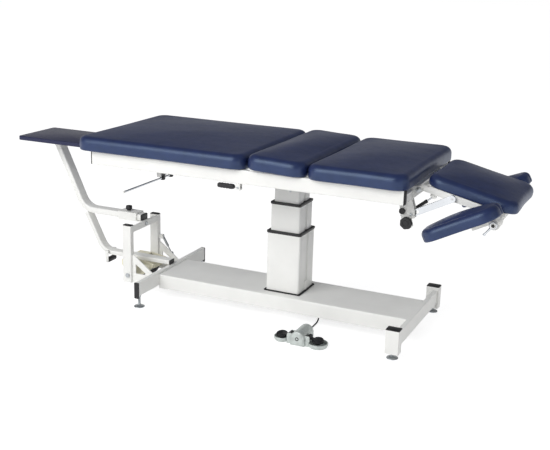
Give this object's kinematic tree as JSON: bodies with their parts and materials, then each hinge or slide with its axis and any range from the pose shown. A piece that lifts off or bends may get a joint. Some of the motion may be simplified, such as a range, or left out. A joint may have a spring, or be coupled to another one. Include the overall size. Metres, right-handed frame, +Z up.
{
  "type": "traction table",
  "caption": "Height-adjustable traction table: telescopic column on a channel base, rolling leg section, fixed sections, tilting head section with drop armrests, and a traction stand.",
  "frame": {"origin": "centre of the bounding box on the floor", "axes": "+X to the head end, -Y to the side with the foot control and the head support, +Z up"},
  "size_m": [2.2351, 0.714, 0.7349],
  "materials": {
    "white_powder_coat": "smooth white powder coat",
    "navy_vinyl": "glossy navy upholstery vinyl",
    "black_plastic": "moulded black plastic",
    "black_rubber": "black rubber",
    "chrome_plate": "bright chrome",
    "zinc_steel": "bright zinc plate",
    "cast_aluminium": "cast, blasted",
    "grey_housing": "grey painted housing",
    "navy_laminate": "laminated board, navy",
    "cream_plate": "cream coated plate"
  },
  "bodies": {
    "base": {"base_channel": "white_powder_coat", "head_cross_frame": "white_powder_coat", "foot_cross_tube": "white_powder_coat", "leg_cap_near": "black_plastic", "leg_cap_far": "black_plastic", "column_lower": "white_powder_coat", "column_gasket": "black_rubber", "column_collar_low": "black_plastic", "lift_screw_outer": "zinc_steel", "control_box": "grey_housing", "stand_frame": "white_powder_coat", "wheel_fork": "cream_plate", "post_cap_near": "black_plastic", "post_cap_far": "black_plastic", "stand_stay": "zinc_steel", "foot_control": "cast_aluminium", "control_lead": "black_rubber"},
    "middle_stage": {"column_middle": "white_powder_coat", "column_collar_mid": "black_plastic", "lift_screw_middle": "chrome_plate"},
    "top": {"column_inner": "white_powder_coat", "lift_screw_inner": "zinc_steel", "lift_motor": "grey_housing", "top_frame": "white_powder_coat", "mid_cushion": "navy_vinyl", "chest_cushion": "navy_vinyl", "head_bracket": "white_powder_coat"},
    "leg_section": {"leg_carriage": "zinc_steel", "leg_cushion": "navy_vinyl"},
    "axle_foot": {"carriage_axle_foot": "zinc_steel"},
    "axle_head": {"carriage_axle_head": "zinc_steel"},
    "head_section": {"head_frame": "white_powder_coat", "head_cushion": "navy_vinyl"},
    "ratchet_arm": {"ratchet_arm": "chrome_plate"},
    "spring_body": {"gas_spring_body": "black_plastic"},
    "spring_rod": {"gas_spring_rod": "chrome_plate"},
    "armrest_near": {"armrest_cushion_near": "navy_vinyl", "armrest_bracket_near": "white_powder_coat"},
    "armrest_far": {"armrest_cushion_far": "navy_vinyl", "armrest_bracket_far": "white_powder_coat"},
    "lever_near": {"armrest_lever_near": "chrome_plate"},
    "lever_far": {"armrest_lever_far": "chrome_plate"},
    "clamp_knob": {"clamp_knob": "black_plastic"},
    "pivot_knob": {"pivot_knob": "black_plastic"},
    "lock_lever": {"lock_lever": "black_plastic"},
    "release": {"release_bar": "chrome_plate", "release_hub": "black_plastic"},
    "stand_arm": {"stand_arm": "white_powder_coat", "arm_cap": "black_plastic", "glide_roller": "black_plastic", "traction_shelf": "navy_laminate"},
    "stand_knob": {"stand_knob": "black_plastic"},
    "wheel_near": {"transport_wheel_near": "black_rubber"},
    "wheel_far": {"transport_wheel_far": "black_rubber"},
    "pedal_left": {"pedal_left": "black_plastic"},
    "pedal_right": {"pedal_right": "black_plastic"},
    "level_foot_1": {"level_foot_head_near": "zinc_steel"},
    "level_foot_2": {"level_foot_head_far": "zinc_steel"},
    "level_foot_3": {"level_foot_foot_near": "zinc_steel"},
    "level_foot_4": {"level_foot_foot_far": "zinc_steel"}
  },
  "joints": [
    {"name": "column_stage_1", "type": "slide", "parent": "base", "child": "middle_stage", "axis": [0, 0, 1], "range_m": [-0.11, 0.115]},
    {"name": "column_stage_2", "type": "slide", "parent": "middle_stage", "child": "top", "axis": [0, 0, 1], "range_m": [-0.11, 0.115]},
    {"name": "leg_section_roll", "type": "slide", "parent": "top", "child": "leg_section", "axis": [1, 0, 0], "range_m": [-0.14, 0]},
    {"name": "axle_foot_roll", "type": "hinge", "parent": "leg_section", "child": "axle_foot", "pos_m": [-0.39009, 0, 0.6283], "axis": [0, 1, 0], "range_deg": [-536, 1]},
    {"name": "axle_head_roll", "type": "hinge", "parent": "leg_section", "child": "axle_head", "pos_m": [0.02991, 0, 0.6283], "axis": [0, 1, 0], "range_deg": [-536, 1]},
    {"name": "head_tilt", "type": "hinge", "parent": "top", "child": "head_section", "pos_m": [0.75691, 0, 0.644], "axis": [0, -1, 0], "range_deg": [-14, 22]},
    {"name": "ratchet_arm_pivot", "type": "hinge", "parent": "head_section", "child": "ratchet_arm", "pos_m": [0.88137, -0.1943, 0.62296], "axis": [0, -1, 0], "range_deg": [-9, 6]},
    {"name": "gas_spring_pivot", "type": "hinge", "parent": "top", "child": "spring_body", "pos_m": [0.73091, -0.173, 0.556], "axis": [0, -1, 0], "range_deg": [-8, 8]},
    {"name": "gas_spring_stroke", "type": "slide", "parent": "spring_body", "child": "spring_rod", "axis": [0.7789, 0, 0.6272], "range_m": [-0.016, 0.022]},
    {"name": "armrest_near_tilt", "type": "hinge", "parent": "head_section", "child": "armrest_near", "pos_m": [1.06129, -0.282, 0.57989], "axis": [0, 1, 0], "range_deg": [-10, 40]},
    {"name": "armrest_near_clamp", "type": "hinge", "parent": "armrest_near", "child": "lever_near", "pos_m": [1.06129, -0.3195, 0.57989], "axis": [0, -1, 0], "range_deg": [-20, 40]},
    {"name": "armrest_far_tilt", "type": "hinge", "parent": "head_section", "child": "armrest_far", "pos_m": [1.06129, 0.282, 0.57989], "axis": [0, 1, 0], "range_deg": [-10, 40]},
    {"name": "armrest_far_clamp", "type": "hinge", "parent": "armrest_far", "child": "lever_far", "pos_m": [1.06129, 0.3195, 0.57989], "axis": [0, -1, 0], "range_deg": [-20, 40]},
    {"name": "head_clamp_turn", "type": "hinge", "parent": "top", "child": "clamp_knob", "pos_m": [0.72291, -0.208, 0.516], "axis": [0, -1, 0], "range_deg": [-180, 180]},
    {"name": "head_pivot_turn", "type": "hinge", "parent": "top", "child": "pivot_knob", "pos_m": [0.70291, -0.208, 0.558], "axis": [0, -1, 0], "range_deg": [-180, 180]},
    {"name": "leg_lock", "type": "hinge", "parent": "top", "child": "lock_lever", "pos_m": [0.07391, -0.305, 0.588], "axis": [0, -1, 0], "range_deg": [0, 25]},
    {"name": "leg_release", "type": "hinge", "parent": "top", "child": "release", "pos_m": [-0.42809, 0, 0.531], "axis": [0, 1, 0], "range_deg": [0, 18], "stiffness_Nm_per_rad": 1.5, "springref_deg": -5.73},
    {"name": "stand_reach", "type": "slide", "parent": "base", "child": "stand_arm", "axis": [1, 0, 0], "range_m": [-0.12, 0.08]},
    {"name": "stand_clamp_turn", "type": "hinge", "parent": "base", "child": "stand_knob", "pos_m": [-0.62409, 0, 0.331], "axis": [0, 0, 1], "range_deg": [-180, 180]},
    {"name": "wheel_near_roll", "type": "hinge", "parent": "base", "child": "wheel_near", "pos_m": [-0.55209, -0.06, 0.073], "axis": [0, 1, 0], "continuous": true},
    {"name": "wheel_far_roll", "type": "hinge", "parent": "base", "child": "wheel_far", "pos_m": [-0.55209, 0.06, 0.073], "axis": [0, 1, 0], "continuous": true},
    {"name": "pedal_left_press", "type": "hinge", "parent": "base", "child": "pedal_left", "pos_m": [0.31691, -0.315, 0.034], "axis": [0, -1, 0], "range_deg": [0, 8], "stiffness_Nm_per_rad": 4, "springref_deg": -3.44},
    {"name": "pedal_right_press", "type": "hinge", "parent": "base", "child": "pedal_right", "pos_m": [0.39491, -0.315, 0.034], "axis": [0, 1, 0], "range_deg": [0, 8], "stiffness_Nm_per_rad": 4, "springref_deg": -3.44},
    {"name": "level_foot_1_turn", "type": "hinge", "parent": "base", "child": "level_foot_1", "pos_m": [0.72091, -0.28, 0.01], "axis": [0, 0, 1], "range_deg": [-180, 180]},
    {"name": "level_foot_2_turn", "type": "hinge", "parent": "base", "child": "level_foot_2", "pos_m": [0.72091, 0.28, 0.01], "axis": [0, 0, 1], "range_deg": [-180, 180]},
    {"name": "level_foot_3_turn", "type": "hinge", "parent": "base", "child": "level_foot_3", "pos_m": [-0.40409, -0.27, 0.01], "axis": [0, 0, 1], "range_deg": [-180, 180]},
    {"name": "level_foot_4_turn", "type": "hinge", "parent": "base", "child": "level_foot_4", "pos_m": [-0.40409, 0.27, 0.01], "axis": [0, 0, 1], "range_deg": [-180, 180]}
  ],
  "couplings": [
    {"joint": "column_stage_2", "follows": "column_stage_1", "ratio": 1},
    {"joint": "axle_foot_roll", "follows": "leg_section_roll", "rad_per_m": 66.667},
    {"joint": "axle_head_roll", "follows": "leg_section_roll", "rad_per_m": 66.667},
    {"joint": "ratchet_arm_pivot", "follows": "head_tilt", "ratio": -0.3908},
    {"joint": "gas_spring_pivot", "follows": "head_tilt", "ratio": 0.2733},
    {"joint": "gas_spring_stroke", "follows": "head_tilt", "m_per_rad": 0.05011}
  ]
}
